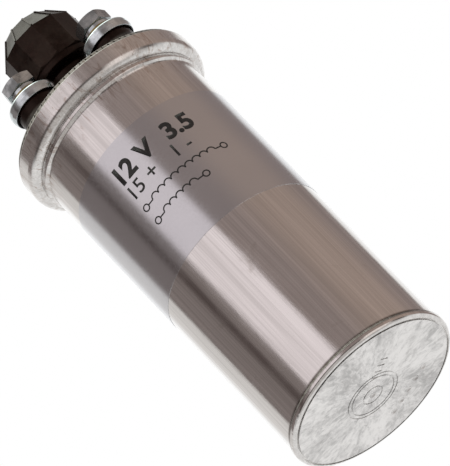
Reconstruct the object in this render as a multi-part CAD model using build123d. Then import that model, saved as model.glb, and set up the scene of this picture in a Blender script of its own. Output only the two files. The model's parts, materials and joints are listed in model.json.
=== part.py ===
from build123d import *
import math
import os

# Ignition coil in a drawn aluminium can. All sizes are in millimetres. Z runs up the can from the
# middle of its base. The two low-tension terminals sit either side of the -Y direction, and the
# high-tension outlet stands on the axis, closed by a twelve-sided moulded union nut.

# Can: a deep-drawn cup with a base bead, a shoulder ring and a rolled crimp over the cap
CAN_R = 20.0
CAN_INNER_R = 19.4
BASE_THICK = 1.0
BASE_FACE_R = 19.1
BASE_GROOVE_DEEP = 0.6
BEAD_INNER_R = 19.58
BEAD_R = 20.45
BEAD_BEND_R = 0.84
BEAD_Z = (0.06, 1.45, 1.9)
NECK_RING_R = 20.7
NECK_RING_Z = (83.0, 84.4)
SHOULDER_Z = 84.7
SHELF_Z = 85.2
FLANGE_R = 22.85
FLANGE_INNER_R = 22.0
FLANGE_BEND_R = 2.1
CRIMP_Z = 91.2
CRIMP_BEVEL_Z = 89.7
CRIMP_UNDER_Z = 90.5
CRIMP_LIP_R = 21.1
CRIMP_INNER_R = 20.5
NOTCH_COUNT = 96
NOTCH_SIZE = (0.4, 0.3, 0.8)
NOTCH_TILT_DEG = -30

# Marks pressed into the base: plain rings, a row of punch dots and a row of short bars
RING_MARK_PLACE = (-0.4, 0.8)
RING_MARK_RADII = (2.4, 5.4, 6.35)
MARK_W = 0.3
MARK_DEPTH = 0.2
DOT_R = 1.0
DOT_SINK = 0.4
DOT_COUNT = 5
DOT_ROW = ((1.4, 12.8), (2.5, -1.6))
BAR_COUNT = 4
BAR_LONG = 2.0
BAR_W = 0.35
BAR_ROW = ((1.9, -4.4), (1.25, -1.2))

# Foil label band
LABEL_THICK = 0.06
LABEL_Z = (42.4, 72.9)
LABEL_GAP_W = 0.4

# Insulating cap, moulded in one piece with the outlet tower and both terminal bosses
CAP_FLANGE_R = 21.9
CAP_SKIRT_R = 19.2
CAP_SKIRT_INNER_R = 16.6
CAP_SKIRT_Z = 80.0
CAP_UNDER_Z = 86.2
GASKET_R = (19.9, 21.8)
DECK_R = 19.6
DECK_Z = 91.8
NECK_R = 7.4
NECK_Z = 101.2
TOWER_Z = 110.0
TOWER_THREAD_R = 6.9
TOWER_CORE_R = 6.1
TOWER_PITCH = 1.5
SPRING_TUBE_R = 7.4
SPRING_TUBE_INNER_R = 4.2
SPRING_TUBE_Z = 82.0

# High-tension socket for a 7 mm ignition lead
LEAD_BORE_R = 3.75
LEAD_BORE_Z = 101.5
SOCKET_LOW_R = 3.3
SOCKET_Z = 96.5
HT_INSERT_R = 3.0
HT_INSERT_FLANGE_R = 4.0
HT_INSERT_Z = 84.0
SPIKE_R = 1.25
SPIKE_TOP = 101.2
SPIKE_ROOT_Z = 91.5

# Union nut with its pressure washer and rubber seal
NUT_SIDES = 12
NUT_TURN_DEG = 5.7
NUT_R = 9.5
NUT_TOP_R = 6.1
NUT_COLLAR_R = 9.0
NUT_Z = (101.9, 103.5, 112.8, 117.5)
NUT_BORE_R = 7.03
NUT_SEAT_Z = 113.8
NUT_MOUTH_R = 4.1
RIB_W = 0.4
RIB_HIGH = 0.18
SEAL_R = 6.6
SEAL_Z = (110.02, 113.0)
WASHER_Z = (113.02, 113.78)

# Low-tension terminals: M4 hexagon screws in brass inserts
TERMINAL_R = 14.2
TERMINAL_DEG = {"1": -135.0, "2": -45.0}
HEX_TURN_DEG = {"1": 30.4, "2": 58.8}
BOSS_R = 5.1
BOSS_FOOT_R = 5.9
BOSS_FOOT_Z = 93.9
BOSS_Z = {"1": 97.98, "2": 97.48}
INSERT_R = 3.3
INSERT_Z = 84.5
INSERT_BORE_R = 2.1
INSERT_BORE_Z = 88.0
SCREW_R = 2.0
SCREW_CORE_R = 1.6
SCREW_PITCH = 0.7
SCREW_TIP_Z = 91.6
HEX_ACROSS_FLATS = 7.0
HEX_HIGH = 3.1
HEX_CHAMFER = (0.95, 0.5)
STACK_BORE_R = 2.15
LOCK_WASHER_R = 3.3
LOCK_WASHER_THICK = 0.8
LOCK_WASHER_SLIT_W = 0.6
LOCK_WASHER_SLIT_DEG = 200
PLAIN_WASHER_R = 3.45
PLAIN_WASHER_THICK = 0.85
CUP_R = 6.0
CUP_RIM_DROP = 1.78
CUP_CROWN_RISE = 1.52
CUP_THICK = 0.7

# Core, windings and their insulation
CORE_Z = (6.2, 79.5)
LAMINATION_W = 8.4
LAMINATION_PITCH = 0.56
LAMINATION_THICK = 0.5
LAMINATION_COUNT = 15
CORE_TUBE_R = (6.3, 7.3)
CORE_TUBE_Z = (6.2, 80.0)
SECONDARY_R = (7.3, 11.4)
SECONDARY_Z = (15.0, 73.0)
SECONDARY_PAPER_R = (11.4, 12.2)
SECONDARY_PAPER_Z = (11.0, 77.0)
PRIMARY_R = (12.2, 14.6)
PRIMARY_Z = (17.0, 72.0)
PRIMARY_WIRE = 1.1
PRIMARY_PAPER_R = (14.7, 15.3)
PRIMARY_PAPER_Z = (12.0, 76.0)
SHEATH_R = {"inner": (15.6, 16.1), "outer": (16.3, 16.8)}
SHEATH_SLIT_DEG = {"inner": 60.0, "outer": 150.0}
SHEATH_SLIT_W = 1.6
SHEATH_Z = (12.0, 76.0)
SLEEVE_R = (17.0, 17.8)
SLEEVE_Z = (4.0, 77.0)
INSULATOR_R = 16.9
INSULATOR_Z = (4.0, 8.0, 10.5)
INSULATOR_RECESS_R = 7.4
SPACER_R = (8.6, 17.8)
SPACER_Z = (77.5, 79.0)
LEAD_HOLE_R = 1.3
FILL_R = 17.9
FILL_Z = 72.0
CONTACT_PLATE_R = 4.6
CONTACT_PLATE_Z = (79.5, 80.1)
SPRING_R = 2.6
SPRING_WIRE = 0.5
SPRING_TURNS = 5
LEAD_WIRE = 1.0
LEAD_BEND_R = 2.0
TAIL_BEND_R = 0.8


def turned(corners):
    """Solid of revolution about Z. Each corner is (radius, height) or (radius, height, rounding)."""
    points = [(c[0], c[1]) for c in corners]
    rounding = [c[2] if len(c) > 2 else 0.0 for c in corners]
    outline = FilletPolyline(*points, radius=rounding, close=True)
    return revolve(Plane.XZ * make_face(outline), Axis.Z)


def tube(radii, heights):
    """Plain tube between two radii and two heights."""
    inner, outer = radii
    low, high = heights
    return turned([(inner, low), (outer, low), (outer, high), (inner, high)])


def rod(radius, low, high):
    """Solid cylinder on the axis between two heights."""
    return turned([(0, low), (radius, low), (radius, high), (0, high)])


def screw_thread(major, core, pitch, low, high):
    """Core rod with one helical ridge of trapezoid section wound on it."""
    root = core - 0.05 * pitch
    crest = 0.08 * pitch
    flank = 0.42 * pitch
    section = Polyline((root, -flank), (major, -crest), (major, crest), (root, flank), close=True)
    path = Helix(pitch=pitch, height=high - low - 2 * flank, radius=core)
    ridge = sweep(Plane.XZ * make_face(section), path=path, is_frenet=True)
    return rod(core, low, high) + Pos(0, 0, low + flank) * ridge


def slit(radius, width, heights, angle):
    """Radial cutter that opens a ring at one angle."""
    low, high = heights
    tall = high - low + 2
    block = Pos(radius / 2 + 1, 0, (low + high) / 2) * Box(radius + 2, width, tall)
    return Rot(0, 0, angle) * block


def terminal_place(name):
    """Location of a terminal's axis at height zero."""
    angle = math.radians(TERMINAL_DEG[name])
    return Pos(TERMINAL_R * math.cos(angle), TERMINAL_R * math.sin(angle), 0)


def spread(radius, angle_deg, height):
    """Point at a radius and an angle about the can's axis."""
    angle = math.radians(angle_deg)
    return (radius * math.cos(angle), radius * math.sin(angle), height)


def row_places(row, count):
    """Evenly spaced (x, y) places of a row stated as its start and its step."""
    (x, y), (step_x, step_y) = row
    return [(x + index * step_x, y + index * step_y) for index in range(count)]


def bent_wire(points, radius):
    """Round wire along straight runs joined by tangent arcs."""
    path = FilletPolyline(*points, radius=radius)
    start = Plane(origin=path @ 0, z_dir=path % 0)
    return sweep(start * Circle(LEAD_WIRE / 2), path=path)


def can():
    bead_low, bead_high, bead_top = BEAD_Z
    ring_low, ring_high = NECK_RING_Z
    edge_z = CRIMP_Z - 0.45
    edge_r = FLANGE_R - 0.6
    wall = turned([
        (0, 0), (BASE_FACE_R, 0), (BASE_FACE_R, BASE_GROOVE_DEEP), (BEAD_INNER_R, BASE_GROOVE_DEEP),
        (BEAD_INNER_R, bead_low), (BEAD_R, bead_low, BEAD_BEND_R), (BEAD_R, bead_high, 0.3),
        (CAN_R, bead_top, 0.3), (CAN_R, ring_low, 0.5), (NECK_RING_R, ring_low + 0.6, 0.4),
        (NECK_RING_R, ring_high, 0.2), (NECK_RING_R - 0.3, SHOULDER_Z, 0.1),
        (FLANGE_R, SHOULDER_Z, FLANGE_BEND_R), (FLANGE_R, CRIMP_BEVEL_Z, 0.4),
        (edge_r, edge_z, 0.3), (CRIMP_LIP_R, CRIMP_Z, 0.2),
        (CRIMP_INNER_R, CRIMP_Z - 0.1, 0.15), (CRIMP_INNER_R, CRIMP_UNDER_Z),
        (FLANGE_INNER_R, CRIMP_UNDER_Z, 0.3), (FLANGE_INNER_R, SHELF_Z), (CAN_INNER_R, SHELF_Z, 0.3),
        (CAN_INNER_R, BASE_THICK, 0.5), (0, BASE_THICK),
    ])
    bevel_middle = ((FLANGE_R + edge_r) / 2, 0, (CRIMP_BEVEL_Z + edge_z) / 2)
    notch = Pos(*bevel_middle) * Rot(0, NOTCH_TILT_DEG, 0) * Box(*NOTCH_SIZE)
    for index in range(NOTCH_COUNT):
        wall -= Rot(0, 0, index * 360 / NOTCH_COUNT) * notch
    for radius in RING_MARK_RADII:
        wall -= Pos(*RING_MARK_PLACE, 0) * tube((radius - MARK_W / 2, radius + MARK_W / 2), (-1, MARK_DEPTH))
    for x, y in [RING_MARK_PLACE] + row_places(DOT_ROW, DOT_COUNT):
        wall -= Pos(x, y, DOT_SINK - DOT_R) * Sphere(DOT_R)
    for x, y in row_places(BAR_ROW, BAR_COUNT):
        turn = math.degrees(math.atan2(BAR_ROW[1][1], BAR_ROW[1][0]))
        wall -= Pos(x, y, 0) * Rot(0, 0, turn) * Box(BAR_W, BAR_LONG, 2 * MARK_DEPTH)
    return wall


def label():
    band = tube((CAN_R, CAN_R + LABEL_THICK), LABEL_Z)
    return band - slit(CAN_R + 1, LABEL_GAP_W, LABEL_Z, 90)


def insulator_cap():
    body = turned([
        (0, SPRING_TUBE_Z), (SPRING_TUBE_R, SPRING_TUBE_Z, 0.4), (SPRING_TUBE_R, CAP_UNDER_Z, 0.6),
        (CAP_SKIRT_INNER_R, CAP_UNDER_Z, 0.6), (CAP_SKIRT_INNER_R, CAP_SKIRT_Z),
        (CAP_SKIRT_R, CAP_SKIRT_Z, 0.3), (CAP_SKIRT_R, CAP_UNDER_Z),
        (CAP_FLANGE_R, CAP_UNDER_Z, 0.3), (CAP_FLANGE_R, CRIMP_UNDER_Z, 0.4),
        (CRIMP_INNER_R - 0.2, CRIMP_UNDER_Z), (DECK_R, DECK_Z, 0.7),
        (NECK_R + 0.3, DECK_Z, 1.0), (NECK_R, NECK_Z, 0.4), (0, NECK_Z),
    ])
    body += screw_thread(TOWER_THREAD_R, TOWER_CORE_R, TOWER_PITCH, NECK_Z, TOWER_Z)
    for name, top in BOSS_Z.items():
        boss = turned([
            (0, DECK_Z - 1), (BOSS_FOOT_R, DECK_Z - 1), (BOSS_FOOT_R, DECK_Z),
            (BOSS_R, BOSS_FOOT_Z, 1.5), (BOSS_R, top, 0.3), (0, top),
        ])
        body += terminal_place(name) * boss
        body -= terminal_place(name) * rod(INSERT_R, INSERT_Z, top + 1)
    body -= rod(LEAD_BORE_R, LEAD_BORE_Z, TOWER_Z + 1)
    body -= rod(SOCKET_LOW_R, SOCKET_Z, LEAD_BORE_Z)
    body -= rod(HT_INSERT_R, HT_INSERT_Z, SOCKET_Z)
    body -= rod(HT_INSERT_FLANGE_R, HT_INSERT_Z, HT_INSERT_Z + 1.5)
    body -= rod(SPRING_TUBE_INNER_R, SPRING_TUBE_Z - 1, HT_INSERT_Z)
    return body


def ht_insert():
    body = rod(HT_INSERT_R, HT_INSERT_Z, SOCKET_Z)
    body += rod(HT_INSERT_FLANGE_R, HT_INSERT_Z, HT_INSERT_Z + 1.5)
    return body - rod(SPIKE_R, SPIKE_ROOT_Z, SOCKET_Z + 1)


def ht_spike():
    """Contact screw that bites into the lead's core: a plain stud with a threaded point."""
    stud = rod(SPIKE_R, SPIKE_ROOT_Z, SOCKET_Z + 0.4)
    point = turned([(0, SOCKET_Z), (SPIKE_R, SOCKET_Z), (SPIKE_R, SPIKE_TOP - 1.8), (0, SPIKE_TOP)])
    for step in range(4):
        groove_z = SOCKET_Z + 1.0 + 0.55 * step
        point -= tube((SPIKE_R - 0.25, SPIKE_R + 0.2), (groove_z, groove_z + 0.22))
    return stud + point


def ht_nut():
    low, facet_low, facet_high, top = NUT_Z
    prism = Pos(0, 0, facet_low) * extrude(
        RegularPolygon(NUT_R, NUT_SIDES, rotation=NUT_TURN_DEG), facet_high - facet_low)
    base_outline = Pos(0, 0, facet_high) * RegularPolygon(NUT_R, NUT_SIDES, rotation=NUT_TURN_DEG)
    top_outline = Pos(0, 0, top) * RegularPolygon(NUT_TOP_R, NUT_SIDES, rotation=NUT_TURN_DEG)
    body = prism + loft([base_outline.face(), top_outline.face()])
    envelope = turned([
        (0, facet_low - 0.5), (NUT_COLLAR_R - 0.3, facet_low - 0.5), (NUT_R + 0.1, facet_low + 0.7),
        (NUT_R + 0.1, top + 1), (0, top + 1),
    ])
    body = (body & envelope) + turned([
        (0, low), (NUT_COLLAR_R, low, 0.3), (NUT_COLLAR_R, facet_low + 0.3), (0, facet_low + 0.3)])
    slope = math.degrees(math.atan2(top - facet_high, NUT_R - NUT_TOP_R))
    rib_length = math.hypot(top - facet_high, NUT_R - NUT_TOP_R)
    middle = ((NUT_R + NUT_TOP_R) / 2, 0, (facet_high + top) / 2)
    rib = Pos(*middle) * Rot(0, slope, 0) * Box(rib_length - 0.3, RIB_W, 2 * RIB_HIGH)
    for index in range(NUT_SIDES):
        body += Rot(0, 0, NUT_TURN_DEG + index * 360 / NUT_SIDES) * rib
    body &= rod(NUT_R + 0.3, low, top)
    body -= rod(NUT_BORE_R, low - 1, NUT_SEAT_Z)
    body -= rod(NUT_MOUTH_R, NUT_SEAT_Z, top + 1)
    return body - turned([
        (0, top - 0.6), (NUT_MOUTH_R, top - 0.6), (NUT_MOUTH_R + 0.7, top + 0.1), (0, top + 0.1),
    ])


def ht_seal():
    low, high = SEAL_Z
    return turned([
        (LEAD_BORE_R, low), (SEAL_R - 0.3, low, 0.2), (SEAL_R, low + 0.6, 0.3),
        (SEAL_R, high - 0.5, 0.3), (SEAL_R - 0.4, high, 0.2), (LEAD_BORE_R, high),
    ])


def stack_heights(name):
    """Seat of each piece clamped on a terminal boss, from the cup washer's crown to the screw's head."""
    crown = BOSS_Z[name] + CUP_CROWN_RISE
    plain_top = crown + PLAIN_WASHER_THICK
    return crown, plain_top, plain_top + LOCK_WASHER_THICK


def lock_washer(low, high):
    ring = tube((STACK_BORE_R, LOCK_WASHER_R), (low, high))
    return ring - slit(LOCK_WASHER_R + 1, LOCK_WASHER_SLIT_W, (low, high), LOCK_WASHER_SLIT_DEG)


def cup_washer(seat, crown):
    """Dished washer whose rolled rim hangs round the boss; seat is the boss's top."""
    flat = seat + 0.02
    rim = seat - CUP_RIM_DROP
    return turned([
        (STACK_BORE_R, crown - CUP_THICK), (3.2, crown - CUP_THICK, 0.4), (4.2, flat, 0.3),
        (CUP_R - 0.65, flat, 0.25), (CUP_R - 0.55, rim + 0.9, 0.5), (CUP_R - 0.62, rim, 0.1),
        (CUP_R - 0.3, rim, 0.12), (CUP_R, rim + 1.1, 0.6), (CUP_R - 0.05, flat + CUP_THICK, 0.6),
        (4.5, flat + CUP_THICK, 0.4), (3.5, crown, 0.5), (STACK_BORE_R, crown),
    ])


def terminal_screw(name, low):
    high = low + HEX_HIGH
    head_r = HEX_ACROSS_FLATS / math.sqrt(3)
    chamfer_r, chamfer_z = HEX_CHAMFER
    prism = Pos(0, 0, low) * extrude(
        RegularPolygon(head_r, 6, rotation=HEX_TURN_DEG[name]), high - low)
    envelope = turned([
        (0, low), (head_r - chamfer_r, low), (head_r + 0.05, low + chamfer_z),
        (head_r + 0.05, high - chamfer_z), (head_r - chamfer_r, high), (0, high),
    ])
    shank = screw_thread(SCREW_R, SCREW_CORE_R, SCREW_PITCH, SCREW_TIP_Z, low + 0.2)
    return (prism & envelope) + shank


def laminations():
    strips = []
    low, high = CORE_Z
    for index in range(LAMINATION_COUNT):
        offset = (index - (LAMINATION_COUNT - 1) / 2) * LAMINATION_PITCH
        strip = Box(LAMINATION_W, LAMINATION_THICK, high - low)
        strips.append(Pos(0, offset, (low + high) / 2) * strip)
    return Compound(children=strips)


def primary_winding():
    """Thick outer coil whose outside shows each turn as a rounded ridge."""
    inner, outer = PRIMARY_R
    low, high = PRIMARY_Z
    turns = int((high - low) / PRIMARY_WIRE)
    pitch = (high - low) / turns
    valley = outer - PRIMARY_WIRE / 3
    corners = [(inner, high), (inner, low), (valley, low)]
    for index in range(turns):
        corners.append((outer, low + (index + 0.3) * pitch))
        corners.append((outer, low + (index + 0.7) * pitch))
        corners.append((valley, low + (index + 1) * pitch))
    return turned(corners)


def sheath(name):
    ring = tube(SHEATH_R[name], SHEATH_Z)
    return ring - slit(SHEATH_R[name][1] + 1, SHEATH_SLIT_W, SHEATH_Z, SHEATH_SLIT_DEG[name])


def base_insulator():
    low, deck, rim = INSULATOR_Z
    return turned([
        (0, low), (INSULATOR_R, low, 0.5), (INSULATOR_R, rim, 0.3), (INSULATOR_R - 1.2, rim, 0.3),
        (INSULATOR_R - 1.2, deck), (INSULATOR_RECESS_R, deck, 0.2),
        (INSULATOR_RECESS_R, CORE_Z[0]), (0, CORE_Z[0]),
    ])


def lead_route(name):
    """Primary lead from the top of the winding up to the terminal insert."""
    angle = TERMINAL_DEG[name]
    start_r = (PRIMARY_R[0] + PRIMARY_R[1]) / 2 - 0.3
    return [
        spread(start_r, angle, PRIMARY_Z[1]), spread(start_r, angle, SPACER_Z[1] + 0.3),
        spread(TERMINAL_R, angle, 82.0), spread(TERMINAL_R, angle, INSERT_Z),
    ]


def secondary_route():
    """Lead that joins the secondary's outer end to the first terminal insert."""
    angle = TERMINAL_DEG["1"] + 12
    return [
        spread(SECONDARY_R[1] - 0.6, angle, SECONDARY_Z[1]), spread(SECONDARY_R[1] - 0.6, angle, 79.8),
        spread(TERMINAL_R, TERMINAL_DEG["1"] + 8, 82.6), spread(TERMINAL_R, TERMINAL_DEG["1"] + 8, INSERT_Z),
    ]


def tail_route():
    """High-tension tail from the secondary's inner end over to the contact plate."""
    return [
        spread(SECONDARY_R[0] + 0.65, 90, SECONDARY_Z[1]), spread(SECONDARY_R[0] + 0.65, 90, 81.0),
        spread(CONTACT_PLATE_R - 0.7, 90, 81.0), spread(CONTACT_PLATE_R - 0.7, 90, CONTACT_PLATE_Z[1]),
    ]


def top_spacer():
    low, high = SPACER_Z
    disc = tube(SPACER_R, SPACER_Z)
    for route in (lead_route("1"), lead_route("2"), secondary_route()):
        x, y, _ = route[0]
        disc -= Pos(x, y, 0) * rod(LEAD_HOLE_R, low - 1, high + 1)
    return disc


def filling():
    return turned([
        (0, BASE_THICK), (CAN_INNER_R, BASE_THICK, 0.5), (CAN_INNER_R, FILL_Z),
        (FILL_R, FILL_Z), (FILL_R, INSULATOR_Z[0]), (0, INSULATOR_Z[0]),
    ])


def contact_spring():
    low = CONTACT_PLATE_Z[1] + SPRING_WIRE / 2
    high = HT_INSERT_Z - SPRING_WIRE / 2
    path = Helix(pitch=(high - low) / SPRING_TURNS, height=high - low, radius=SPRING_R)
    section = Plane(origin=path @ 0, z_dir=path % 0) * Circle(SPRING_WIRE / 2)
    return Pos(0, 0, low) * sweep(section, path=path, is_frenet=True)


def terminal_parts(name):
    place = terminal_place(name)
    seat = BOSS_Z[name]
    crown, plain_top, head = stack_heights(name)
    insert = rod(INSERT_R, INSERT_Z, seat) - rod(INSERT_BORE_R, INSERT_BORE_Z, seat + 1)
    return {
        f"terminal_insert_{name}": place * insert,
        f"terminal_screw_{name}": place * terminal_screw(name, head),
        f"lock_washer_{name}": place * lock_washer(plain_top, head),
        f"plain_washer_{name}": place * tube((STACK_BORE_R, PLAIN_WASHER_R), (crown, plain_top)),
        f"cup_washer_{name}": place * cup_washer(seat, crown),
        f"primary_lead_{name}": bent_wire(lead_route(name), LEAD_BEND_R),
    }


def all_parts():
    parts = {
        "can": can(),
        "label_band": label(),
        "cap_gasket": tube(GASKET_R, (SHELF_Z, CAP_UNDER_Z)),
        "insulator_cap": insulator_cap(),
        "ht_insert": ht_insert(),
        "ht_contact_spike": ht_spike(),
        "ht_contact_spring": contact_spring(),
        "ht_seal": ht_seal(),
        "ht_pressure_washer": tube((LEAD_BORE_R, SEAL_R), WASHER_Z),
        "ht_union_nut": ht_nut(),
        "core_laminations": laminations(),
        "core_contact_plate": rod(CONTACT_PLATE_R, *CONTACT_PLATE_Z),
        "core_tube": tube(CORE_TUBE_R, CORE_TUBE_Z),
        "secondary_winding": tube(SECONDARY_R, SECONDARY_Z),
        "secondary_paper": tube(SECONDARY_PAPER_R, SECONDARY_PAPER_Z),
        "secondary_lead": bent_wire(secondary_route(), LEAD_BEND_R),
        "secondary_tail": bent_wire(tail_route(), TAIL_BEND_R),
        "primary_winding": primary_winding(),
        "primary_paper": tube(PRIMARY_PAPER_R, PRIMARY_PAPER_Z),
        "sheath_inner": sheath("inner"),
        "sheath_outer": sheath("outer"),
        "winding_sleeve": tube(SLEEVE_R, SLEEVE_Z),
        "base_insulator": base_insulator(),
        "top_spacer": top_spacer(),
        "filling_compound": filling(),
    }
    for name in TERMINAL_DEG:
        parts.update(terminal_parts(name))
    return parts


os.makedirs("parts", exist_ok=True)
for node, shape in all_parts().items():
    export_step(shape, f"parts/{node}.step")
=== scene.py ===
"""Looks of the ignition coil: materials for the CAD parts, the label's printed marks, and the studio."""

import json
import math

import bmesh
import bpy
from mathutils import Matrix, Vector


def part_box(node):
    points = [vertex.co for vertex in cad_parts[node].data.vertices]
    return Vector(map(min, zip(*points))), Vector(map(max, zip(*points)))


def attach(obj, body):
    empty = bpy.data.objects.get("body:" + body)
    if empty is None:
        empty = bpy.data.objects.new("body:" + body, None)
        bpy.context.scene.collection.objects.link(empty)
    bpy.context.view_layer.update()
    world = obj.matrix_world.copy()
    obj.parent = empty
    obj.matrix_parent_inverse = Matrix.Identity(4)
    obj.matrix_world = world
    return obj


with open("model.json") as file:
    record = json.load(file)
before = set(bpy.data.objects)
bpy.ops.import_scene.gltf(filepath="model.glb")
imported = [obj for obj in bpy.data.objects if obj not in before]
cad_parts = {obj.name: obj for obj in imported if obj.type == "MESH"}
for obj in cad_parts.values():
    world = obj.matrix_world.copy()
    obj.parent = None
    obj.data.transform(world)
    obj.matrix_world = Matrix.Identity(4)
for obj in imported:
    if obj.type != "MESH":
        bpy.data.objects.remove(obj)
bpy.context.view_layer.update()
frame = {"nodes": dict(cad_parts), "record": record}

MM = 0.001

# Camera: azimuth 0 looks along +Y, elevation is the line of sight's rise, roll turns the picture
CAMERA_AZIMUTH = 4.63
CAMERA_RISE = 28.44
CAMERA_ROLL = -43.88
CAMERA_TARGET = Vector((0.7, 0.0, 50.2)) * MM
CAMERA_DISTANCE = 1.380
CAMERA_LENS = 516.7

# Zones of the can that are finished differently, or darkened with painted shade at the bead and the crimp:
# rising edges (start, end) in metres of height or radius
NECK_Z = (0.076, 0.084)
BEAD_LOW_Z = (0.0010, 0.0016)
BEAD_HIGH_Z = (0.0026, 0.0020)
CRIMP_Z = (0.0896, 0.0899)
CRIMP_R = (0.0213, 0.0216)
LIP_Z = (0.0905, 0.0907)
LIP_R = (0.0224, 0.0222)
BASE_Z = (0.0006, 0.0002)
BASE_R = (0.0194, 0.0192)
ALONG_AXIS = (1.0, 1.0, 0.012)

# Label print: place round the can in degrees from the front (-Y), line heights above the label's lower edge
PRINT_START = -29.5
PRINT_PROUD = 0.02 * MM
PRINT_THICK = 0.015 * MM
PRINT_SLICE = 0.6 * MM
VOLTAGE_LINE = 22.0 * MM
POLES_LINE = 17.6 * MM
SECONDARY_LINE = 14.5 * MM
PRIMARY_LINE = 10.5 * MM
SYMBOL_START = 0.5 * MM
SYMBOL_STROKE = 0.3 * MM
LOOP_R = 0.95 * MM
LEAD_LONG = 1.5 * MM
TERMINAL_R = 0.75 * MM

FLOOR_SIZE = 6.0
FLOOR_DROP = 0.2 * MM


# ---------------------------------------------------------------- shader helpers

class Graph:
    """Adds nodes to one shader tree. Values may be numbers, colours, vectors or another node's output."""

    def __init__(self, tree):
        self.tree = tree

    def node(self, kind, inputs=(), **settings):
        node = self.tree.nodes.new("ShaderNode" + kind)
        for key, value in settings.items():
            setattr(node, key, value)
        for key, value in dict(inputs).items():
            self.put(node.inputs[key], value)
        return node

    def put(self, socket, value):
        if isinstance(value, bpy.types.NodeSocket):
            self.tree.links.new(value, socket)
        else:
            socket.default_value = value

    def math(self, operation, a, b=0.0, c=0.0, clamp=False):
        node = self.node("Math", {0: a, 1: b, 2: c}, operation=operation, use_clamp=clamp)
        return node.outputs[0]

    def scaled(self, vector, scale):
        node = self.node("VectorMath", {0: vector, 1: scale}, operation="MULTIPLY")
        return node.outputs[0]

    def noise(self, vector, scale, detail=4.0, roughness=0.55, distortion=0.0):
        node = self.node("TexNoise", {
            "Vector": vector, "Scale": scale, "Detail": detail,
            "Roughness": roughness, "Distortion": distortion})
        return node.outputs["Fac"]

    def step(self, value, low, high, start=0.0, end=1.0):
        """Smooth rise from start to end while value goes from low to high."""
        node = self.node("MapRange", {
            "Value": value, "From Min": low, "From Max": high, "To Min": start, "To Max": end},
            interpolation_type="SMOOTHSTEP")
        return node.outputs["Result"]

    def mix(self, factor, a, b):
        return self.node("Mix", {0: factor, 6: a, 7: b}, data_type="RGBA").outputs[2]

    def blend(self, factor, a, b):
        """Number that goes from a to b with the factor."""
        return self.node("Mix", {0: factor, 2: a, 3: b}, data_type="FLOAT").outputs[0]

    def bump(self, height, strength, distance, normal=None):
        inputs = {"Height": height, "Strength": strength, "Distance": distance}
        if normal is not None:
            inputs["Normal"] = normal
        return self.node("Bump", inputs).outputs["Normal"]

    def parts(self, vector):
        return self.node("SeparateXYZ", {0: vector}).outputs


def grey(level, warm=0.0):
    """Neutral colour, tinted warmer by a positive second value."""
    return (level * (1 + warm), level, level * (1 - warm), 1.0)


def rgb(red, green, blue):
    return (red, green, blue, 1.0)


def new_material(name, metallic, roughness):
    material = bpy.data.materials.new(name)
    material.use_nodes = True
    graph = Graph(material.node_tree)
    bsdf = material.node_tree.nodes["Principled BSDF"]
    graph.put(bsdf.inputs["Metallic"], metallic)
    graph.put(bsdf.inputs["Roughness"], roughness)
    return material, graph, bsdf


def object_place(graph):
    return graph.node("TexCoord").outputs["Object"]


# ---------------------------------------------------------------- materials

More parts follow.
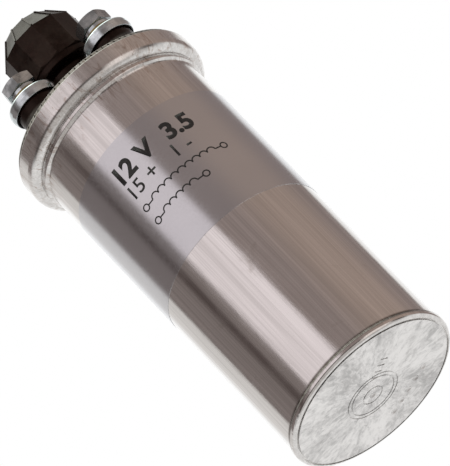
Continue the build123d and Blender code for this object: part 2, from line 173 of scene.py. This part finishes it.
def can_aluminium():
    """Drawn aluminium: axial die lines on the wall, frosted grain on the base, painted shade in the creases
    at the bead and the crimp.
    """
    material, g, bsdf = new_material("drawn_aluminium", 1.0, 0.2)
    place = object_place(g)
    x, y, z = g.parts(place)
    radius = g.math("SQRT", g.math("ADD", g.math("MULTIPLY", x, x), g.math("MULTIPLY", y, y)))
    fine_lines = g.noise(g.scaled(place, ALONG_AXIS), 2600.0, 3.0, 0.6)
    broad_lines = g.noise(g.scaled(place, ALONG_AXIS), 520.0, 4.0, 0.6)
    cloud = g.noise(place, 130.0, 6.0, 0.6, 0.4)
    specks = g.noise(place, 1400.0, 3.0, 0.7)
    scuffs = g.noise(g.scaled(place, (1.0, 1.0, 0.25)), 420.0, 6.0, 0.75, 1.5)
    lines = g.math("ADD", g.math("MULTIPLY", fine_lines, 0.45), g.math("MULTIPLY", broad_lines, 0.55))

    neck = g.step(z, *NECK_Z)
    tone = g.mix(g.step(lines, 0.35, 0.68), grey(0.56, 0.02), grey(0.74, 0.015))
    tone = g.mix(g.step(cloud, 0.62, 0.8), tone, grey(0.48, 0.05))
    tone = g.mix(g.step(specks, 0.66, 0.78, 0.0, 0.5), tone, grey(0.36, 0.08))
    stain = g.math("MULTIPLY", neck, g.step(scuffs, 0.5, 0.66, 0.0, 0.75))
    tone = g.mix(stain, tone, rgb(0.36, 0.29, 0.25))

    # Painted shade: near-black colour in the crease at the bead near the base and under the crimp edge, made
    # patchy by the scuff noise; these zones are also rougher.
    bead_top = g.math("MULTIPLY", g.step(z, *BEAD_LOW_Z), g.step(z, *BEAD_HIGH_Z))
    crimp = g.math("MULTIPLY", g.step(z, *CRIMP_Z), g.step(radius, *CRIMP_R))
    crease_shade_zone = g.math("MAXIMUM", bead_top, crimp)
    shade_patchiness = g.step(scuffs, 0.3, 0.7, 0.75, 1.0)
    tone = g.mix(g.math("MULTIPLY", crease_shade_zone, shade_patchiness), tone, rgb(0.075, 0.055, 0.045))
    lip = g.math("MULTIPLY", g.step(z, *LIP_Z), g.step(radius, *LIP_R))
    tone = g.mix(lip, tone, grey(0.3, 0.04))

    spoke_x = g.math("DIVIDE", x, g.math("ADD", radius, 0.004))
    spoke_y = g.math("DIVIDE", y, g.math("ADD", radius, 0.004))
    spokes = g.node("CombineXYZ", {0: spoke_x, 1: spoke_y, 2: g.math("MULTIPLY", radius, 26.0)}).outputs[0]
    rays = g.noise(spokes, 12.0, 8.0, 0.7, 0.9)
    sectors = g.noise(spokes, 2.4, 3.0, 0.5, 0.5)
    swirl = g.noise(place, 230.0, 8.0, 0.74, 2.6)
    frosting = g.math("ADD", g.math("MULTIPLY", rays, 0.6), g.math("MULTIPLY", swirl, 0.4))
    shine = g.math("ADD", g.math("MULTIPLY", frosting, 0.7), g.math("MULTIPLY", sectors, 0.3))
    base = g.math("MULTIPLY", g.step(z, *BASE_Z), g.step(radius, *BASE_R))
    base_tone = g.mix(g.step(shine, 0.38, 0.6), grey(0.4, 0.01), grey(0.8, 0.01))
    g.put(bsdf.inputs["Base Color"], g.mix(base, tone, base_tone))

    wall_rough = g.step(cloud, 0.35, 0.75, 0.09, 0.17)
    wall_rough = g.math("ADD", wall_rough, g.math("MULTIPLY", neck, 0.1))
    wall_rough = g.math("ADD", wall_rough, g.math("MULTIPLY", crease_shade_zone, 0.25))
    base_rough = g.step(frosting, 0.35, 0.65, 0.3, 0.46)
    g.put(bsdf.inputs["Roughness"], g.blend(base, wall_rough, base_rough))
    wall_bump = g.bump(lines, 0.25, 0.02 * MM)
    wall_bump = g.bump(scuffs, 0.2, 0.06 * MM, wall_bump)
    base_bump = g.bump(frosting, 0.55, 0.16 * MM)
    normal = g.node("Mix", {0: base, 4: wall_bump, 5: base_bump}, data_type="VECTOR").outputs[1]
    g.put(bsdf.inputs["Normal"], normal)
    return material


def label_foil():
    """Semi-gloss silver foil, faintly rippled where it is glued over the can."""
    material, g, bsdf = new_material("label_foil", 1.0, 0.2)
    place = object_place(g)
    tooth = g.noise(place, 1600.0, 4.0, 0.6)
    cloud = g.noise(place, 60.0, 4.0, 0.5)
    g.put(bsdf.inputs["Base Color"], g.mix(cloud, rgb(0.52, 0.53, 0.555), rgb(0.60, 0.605, 0.625)))
    g.put(bsdf.inputs["Roughness"], g.step(tooth, 0.3, 0.7, 0.16, 0.22))
    g.put(bsdf.inputs["Normal"], g.bump(tooth, 0.1, 0.01 * MM, g.bump(cloud, 0.1, 0.1 * MM)))
    return material


def bakelite():
    """Brown-black phenolic moulding: wood-flour mottle and a slightly worn gloss."""
    material, g, bsdf = new_material("bakelite", 0.0, 0.34)
    place = object_place(g)
    flour = g.noise(place, 1300.0, 5.0, 0.65)
    cloud = g.noise(place, 260.0, 5.0, 0.65)
    tone = g.mix(g.step(flour, 0.42, 0.75), rgb(0.004, 0.0016, 0.0012), rgb(0.016, 0.0065, 0.0048))
    edge = g.node("NewGeometry").outputs["Pointiness"]
    worn = g.math("MULTIPLY", g.step(edge, 0.52, 0.6), g.step(cloud, 0.35, 0.65))
    tone = g.mix(worn, tone, rgb(0.045, 0.034, 0.028))
    g.put(bsdf.inputs["Base Color"], tone)
    bsdf.inputs["Specular IOR Level"].default_value = 0.2
    bsdf.inputs["Specular Tint"].default_value = rgb(1.0, 0.7, 0.58)
    g.put(bsdf.inputs["Roughness"], g.step(cloud, 0.3, 0.7, 0.24, 0.4))
    g.put(bsdf.inputs["Normal"], g.bump(flour, 0.1, 0.04 * MM, g.bump(cloud, 0.12, 0.2 * MM)))
    return material


def plated(name, bright, dull, roughness):
    """Zinc plate over stamped or turned steel, with dull patches and fine scratches."""
    material, g, bsdf = new_material(name, 1.0, roughness)
    place = object_place(g)
    cloud = g.noise(place, 420.0, 5.0, 0.6)
    grain = g.noise(place, 2600.0, 3.0, 0.6)
    scratch = g.noise(g.scaled(place, (1.0, 0.06, 1.0)), 4200.0, 2.0, 0.5)
    g.put(bsdf.inputs["Base Color"], g.mix(g.step(cloud, 0.36, 0.68), dull, bright))
    g.put(bsdf.inputs["Roughness"], g.step(cloud, 0.3, 0.7, roughness + 0.1, roughness - 0.04))
    coarse = g.bump(grain, 0.15, 0.03 * MM)
    g.put(bsdf.inputs["Normal"], g.bump(scratch, 0.12, 0.02 * MM, coarse))
    return material


def tinted_metal(name, light, dark, roughness, line_scale=2200.0):
    """Turned or drawn coloured metal: brass pieces, copper wire, spring wire, sheet steel."""
    material, g, bsdf = new_material(name, 1.0, roughness)
    place = object_place(g)
    cloud = g.noise(place, 500.0, 5.0, 0.6)
    turned = g.noise(g.scaled(place, (0.1, 0.1, 1.0)), line_scale, 3.0, 0.6)
    g.put(bsdf.inputs["Base Color"], g.mix(g.step(cloud, 0.35, 0.7), dark, light))
    g.put(bsdf.inputs["Roughness"], g.step(cloud, 0.3, 0.7, roughness + 0.12, roughness))
    g.put(bsdf.inputs["Normal"], g.bump(turned, 0.15, 0.03 * MM))
    return material


def fibrous(name, light, dark, roughness, scale=900.0, stretch=(1.0, 1.0, 0.2)):
    """Paper, pressboard, cork or rubber: a fibrous or granular matt surface."""
    material, g, bsdf = new_material(name, 0.0, roughness)
    place = object_place(g)
    fibres = g.noise(g.scaled(place, stretch), scale, 6.0, 0.65)
    cloud = g.noise(place, 180.0, 4.0, 0.6)
    tone = g.mix(g.step(fibres, 0.35, 0.7), dark, light)
    g.put(bsdf.inputs["Base Color"], g.mix(g.step(cloud, 0.4, 0.8, 0.0, 0.4), tone, dark))
    g.put(bsdf.inputs["Roughness"], g.step(fibres, 0.3, 0.7, roughness, roughness + 0.15))
    g.put(bsdf.inputs["Normal"], g.bump(fibres, 0.3, 0.05 * MM))
    return material


EVEN = (1.0, 1.0, 1.0)


def porcelain():
    """Glazed white insulator, faintly clouded."""
    material, g, bsdf = new_material("porcelain", 0.0, 0.12)
    place = object_place(g)
    cloud = g.noise(place, 240.0, 5.0, 0.6)
    g.put(bsdf.inputs["Base Color"], g.mix(cloud, rgb(0.74, 0.72, 0.66), rgb(0.86, 0.85, 0.8)))
    g.put(bsdf.inputs["Roughness"], g.step(cloud, 0.3, 0.7, 0.1, 0.2))
    g.put(bsdf.inputs["Normal"], g.bump(cloud, 0.1, 0.1 * MM))
    return material


def print_ink():
    """Matt black label ink with slightly uneven cover."""
    material, g, bsdf = new_material("print_ink", 0.0, 0.5)
    place = object_place(g)
    cover = g.noise(place, 3000.0, 3.0, 0.6)
    g.put(bsdf.inputs["Base Color"], g.mix(cover, rgb(0.004, 0.004, 0.004), rgb(0.014, 0.012, 0.012)))
    g.put(bsdf.inputs["Roughness"], g.step(cover, 0.3, 0.7, 0.42, 0.6))
    return material


MATERIALS = {
    "can_aluminium": can_aluminium(),
    "label_foil": label_foil(),
    "bakelite": bakelite(),
    "zinc_plate": plated("zinc_plate", rgb(0.70, 0.77, 0.80), rgb(0.44, 0.49, 0.51), 0.16),
    "zinc_screw": plated("zinc_screw", rgb(0.56, 0.60, 0.61), rgb(0.24, 0.255, 0.26), 0.22),
    # The brass colour is darkened throughout as painted shade, standing for the shadow in the recess under
    # the terminal heads where the brass washers sit.
    "brass": tinted_metal("brass", rgb(0.36, 0.27, 0.11), rgb(0.16, 0.115, 0.045), 0.36),
    "copper_wire": tinted_metal("copper_wire", rgb(0.72, 0.30, 0.13), rgb(0.45, 0.16, 0.07), 0.25),
    "enamelled_copper": tinted_metal("enamelled_copper", rgb(0.62, 0.24, 0.10), rgb(0.38, 0.13, 0.05), 0.2),
    "spring_steel": tinted_metal("spring_steel", grey(0.5), grey(0.32), 0.25),
    "silicon_steel": tinted_metal("silicon_steel", rgb(0.34, 0.35, 0.37), rgb(0.2, 0.2, 0.22), 0.35),
    "rubber": fibrous("rubber", grey(0.03), grey(0.012), 0.6, 1500.0, EVEN),
    "gasket_cork": fibrous("gasket_cork", rgb(0.2, 0.13, 0.08), rgb(0.09, 0.05, 0.03), 0.75, 1100.0, EVEN),
    "pressboard": fibrous("pressboard", rgb(0.42, 0.29, 0.16), rgb(0.28, 0.18, 0.09), 0.6),
    "insulation_paper": fibrous("insulation_paper", rgb(0.62, 0.5, 0.32), rgb(0.46, 0.35, 0.2), 0.55),
    "asphalt_compound": fibrous("asphalt", rgb(0.02, 0.017, 0.014), rgb(0.008, 0.007, 0.006), 0.35, 400.0,
                                EVEN),
    "porcelain": porcelain(),
}


def dress_cad():
    """Gives every CAD node the material of its slot in the record."""
    slot_of = {row["node"]: row["material_slot"] for row in frame["record"]["subparts"]}
    for name, node in frame["nodes"].items():
        node.data.materials.clear()
        node.data.materials.append(MATERIALS[slot_of[name]])


# ---------------------------------------------------------------- label print

LABEL_LOW, LABEL_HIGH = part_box("label_band")
LABEL_R = LABEL_HIGH.x
INK = print_ink()


def wrapped(name, flat):
    """Turns a flat mesh, in metres round the can by metres of height, into a thin print on the label."""
    grid = bmesh.new()
    grid.from_mesh(flat)
    bmesh.ops.triangulate(grid, faces=grid.faces)
    low = min(v.co.x for v in grid.verts)
    high = max(v.co.x for v in grid.verts)
    for index in range(1, int((high - low) / PRINT_SLICE) + 1):
        cut = low + index * PRINT_SLICE
        everything = grid.verts[:] + grid.edges[:] + grid.faces[:]
        bmesh.ops.bisect_plane(grid, geom=everything, plane_co=(cut, 0, 0), plane_no=(1, 0, 0))
    for vert in grid.verts:
        angle = math.radians(PRINT_START) + vert.co.x / LABEL_R
        radius = LABEL_R + PRINT_PROUD
        vert.co = (radius * math.sin(angle), -radius * math.cos(angle), vert.co.y)
    grid.to_mesh(flat)
    grid.free()
    piece = bpy.data.objects.new(name, flat)
    bpy.context.scene.collection.objects.link(piece)
    thick = piece.modifiers.new("thickness", "SOLIDIFY")
    thick.thickness = PRINT_THICK
    thick.offset = -1.0
    flat.materials.clear()
    flat.materials.append(INK)
    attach(piece, "coil_case")
    return piece


def lettering(name, words, height, size, weight):
    """One printed line, its height above the label's lower edge."""
    curve = bpy.data.curves.new(name, "FONT")
    curve.body = words
    curve.size = size
    curve.offset = weight
    curve.resolution_u = 4
    holder = bpy.data.objects.new(name + "_curve", curve)
    bpy.context.scene.collection.objects.link(holder)
    bpy.context.view_layer.update()
    flat = bpy.data.meshes.new_from_object(holder.evaluated_get(bpy.context.evaluated_depsgraph_get()))
    bpy.data.objects.remove(holder)
    flat.transform(Matrix.Translation((0, LABEL_LOW.z + height, 0)))
    return wrapped(name, flat)


def arc(centre, radius, start_deg, end_deg, steps=10):
    """Points of a flat arc whose centre lies on the symbol's line."""
    angles = [math.radians(start_deg + (end_deg - start_deg) * index / steps) for index in range(steps + 1)]
    return [Vector((centre + radius * math.cos(angle), radius * math.sin(angle))) for angle in angles]


def add_stroke(grid, path, width):
    """Adds a ribbon of constant width along a flat path to a bmesh."""
    rails = []
    for index, point in enumerate(path):
        before = path[max(index - 1, 0)]
        after = path[min(index + 1, len(path) - 1)]
        along = (after - before).normalized()
        side = Vector((-along.y, along.x)) * width / 2
        rails.append([grid.verts.new((*(point + side), 0)), grid.verts.new((*(point - side), 0))])
    for (a, b), (c, d) in zip(rails, rails[1:]):
        grid.faces.new((a, b, d, c))


def coil_symbol(name, height, loops):
    """Printed winding symbol: two terminal rings joined by a row of half loops."""
    first = 2 * TERMINAL_R + LEAD_LONG
    last = first + 2 * loops * LOOP_R
    end = last + LEAD_LONG
    paths = [arc(TERMINAL_R, TERMINAL_R, 0, 360, 16), [Vector((2 * TERMINAL_R, 0)), Vector((first, 0))]]
    paths += [arc(first + (2 * index + 1) * LOOP_R, LOOP_R, 180, 0) for index in range(loops)]
    paths += [[Vector((last, 0)), Vector((end, 0))], arc(end + TERMINAL_R, TERMINAL_R, 180, 540, 16)]
    grid = bmesh.new()
    for path in paths:
        add_stroke(grid, path, SYMBOL_STROKE)
    flat = bpy.data.meshes.new(name)
    grid.to_mesh(flat)
    grid.free()
    flat.transform(Matrix.Translation((SYMBOL_START, LABEL_LOW.z + height, 0)))
    return wrapped(name, flat)


def label_print():
    """Generic rating, terminal numbers with their signs, and a symbol for each winding."""
    lettering("print_voltage", "12 V  3.5", VOLTAGE_LINE, size=5.9 * MM, weight=0.22 * MM)
    lettering("print_poles", "15 +   1 -", POLES_LINE, size=4.7 * MM, weight=0.03 * MM)
    coil_symbol("print_secondary", SECONDARY_LINE, loops=9)
    coil_symbol("print_primary", PRIMARY_LINE, loops=5)


# ---------------------------------------------------------------- studio

def stage_floor():
    """Pale floor seen only from above, so that it neither hides nor shades the part from below."""
    bpy.ops.mesh.primitive_plane_add(size=FLOOR_SIZE, location=(0, 0, -FLOOR_DROP))
    floor = bpy.context.object
    floor.name = "stage_floor"
    material = bpy.data.materials.new("pale_floor")
    material.use_nodes = True
    g = Graph(material.node_tree)
    material.node_tree.nodes.remove(material.node_tree.nodes["Principled BSDF"])
    seen = g.node("LightPath").outputs["Is Camera Ray"]
    back = g.node("NewGeometry").outputs["Backfacing"]
    shown = g.math("MULTIPLY", seen, g.math("SUBTRACT", 1.0, back))
    pale = g.node("BsdfDiffuse", {"Color": grey(0.82)}).outputs[0]
    clear = g.node("BsdfTransparent").outputs[0]
    surface = g.node("MixShader", {0: shown, 1: clear, 2: pale}).outputs[0]
    g.put(material.node_tree.nodes["Material Output"].inputs["Surface"], surface)
    floor.data.materials.append(material)


# Soft boxes and flags round the part: bearing from, bearing to, soft edge, all in degrees, and colour.
# Bearing 0 points to the camera. Each one covers those before it.
BACKDROP = rgb(1.15, 1.15, 1.15)
PANELS = (
    (-150, 150, 10, rgb(0.86, 0.83, 0.81)),
    (-114, 143, 3, rgb(0.25, 0.21, 0.2)),
    (-77, -66, 4, rgb(0.11, 0.085, 0.08)),
    (-51, 3, 4, rgb(0.96, 0.87, 0.88)),
    (3, 140, 5, rgb(0.32, 0.26, 0.245)),
    (45, 112, 22, rgb(0.43, 0.335, 0.29)),
)


def studio_light():
    """White backdrop with soft boxes and dark flags round the part, drawn by direction."""
    world = bpy.data.worlds.new("studio")
    bpy.context.scene.world = world
    world.use_nodes = True
    tree = world.node_tree
    tree.nodes.clear()
    g = Graph(tree)
    x, y, z = g.parts(g.node("TexCoord").outputs["Generated"])
    turn = math.radians(CAMERA_AZIMUTH)
    ahead = g.math("SUBTRACT", g.math("MULTIPLY", x, -math.sin(turn)), g.math("MULTIPLY", y, math.cos(turn)))
    aside = g.math("SUBTRACT", g.math("MULTIPLY", x, math.cos(turn)), g.math("MULTIPLY", y, math.sin(turn)))
    bearing = g.math("DEGREES", g.math("ARCTAN2", aside, ahead))

    def window(low, high, soft, value=bearing):
        rise = g.step(value, low - soft, low + soft)
        fall = g.step(value, high - soft, high + soft, 1.0, 0.0)
        return g.math("MULTIPLY", rise, fall)

    light = BACKDROP
    for low, high, soft, colour in PANELS:
        light = g.mix(window(low, high, soft), light, colour)
    dim_ring = window(0.62, 0.78, 0.05, z)
    light = g.mix(dim_ring, light, rgb(0.42, 0.4, 0.38))
    above = g.step(z, 0.78, 0.9)
    light = g.mix(above, light, rgb(2.1, 2.2, 2.0))

    below = g.step(z, 0.05, -0.15)
    facing = g.step(ahead, -0.3, 0.1)
    flag = g.mix(g.step(z, -0.3, -0.5), rgb(0.09, 0.075, 0.07), rgb(0.6, 0.57, 0.55))
    ground = g.mix(facing, rgb(0.95, 0.94, 0.93), flag)
    patch = g.math("MULTIPLY", window(34, 70, 8), g.step(z, -0.85, -0.6))
    ground = g.mix(patch, ground, rgb(1.1, 1.0, 0.95))
    light = g.mix(below, light, ground)
    seen = g.node("LightPath").outputs["Is Camera Ray"]
    plain = g.node("Background", {"Color": rgb(1.0, 1.0, 1.0), "Strength": 1.0}).outputs[0]
    glow = g.node("Background", {"Color": light, "Strength": 1.0}).outputs[0]
    surface = g.node("MixShader", {0: seen, 1: glow, 2: plain}).outputs[0]
    g.put(g.node("OutputWorld").inputs["Surface"], surface)


def camera():
    """Long lens below the part, looking up at its base, rolled so that the can lies across the picture."""
    azimuth = math.radians(CAMERA_AZIMUTH)
    rise = math.radians(CAMERA_RISE)
    sight = Vector((math.sin(azimuth) * math.cos(rise), math.cos(azimuth) * math.cos(rise), math.sin(rise)))
    level = sight.cross(Vector((0, 0, 1))).normalized()
    across = Matrix.Rotation(math.radians(-CAMERA_ROLL), 3, sight) @ level
    up = across.cross(sight)
    data = bpy.data.cameras.new("camera")
    data.lens = CAMERA_LENS
    eye = bpy.data.objects.new("camera", data)
    bpy.context.scene.collection.objects.link(eye)
    turn = Matrix((across, up, -sight)).transposed().to_4x4()
    eye.matrix_world = Matrix.Translation(CAMERA_TARGET - sight * CAMERA_DISTANCE) @ turn
    bpy.context.scene.camera = eye


camera()
dress_cad()
label_print()
stage_floor()
studio_light()
bpy.context.scene.view_settings.view_transform = "Standard"
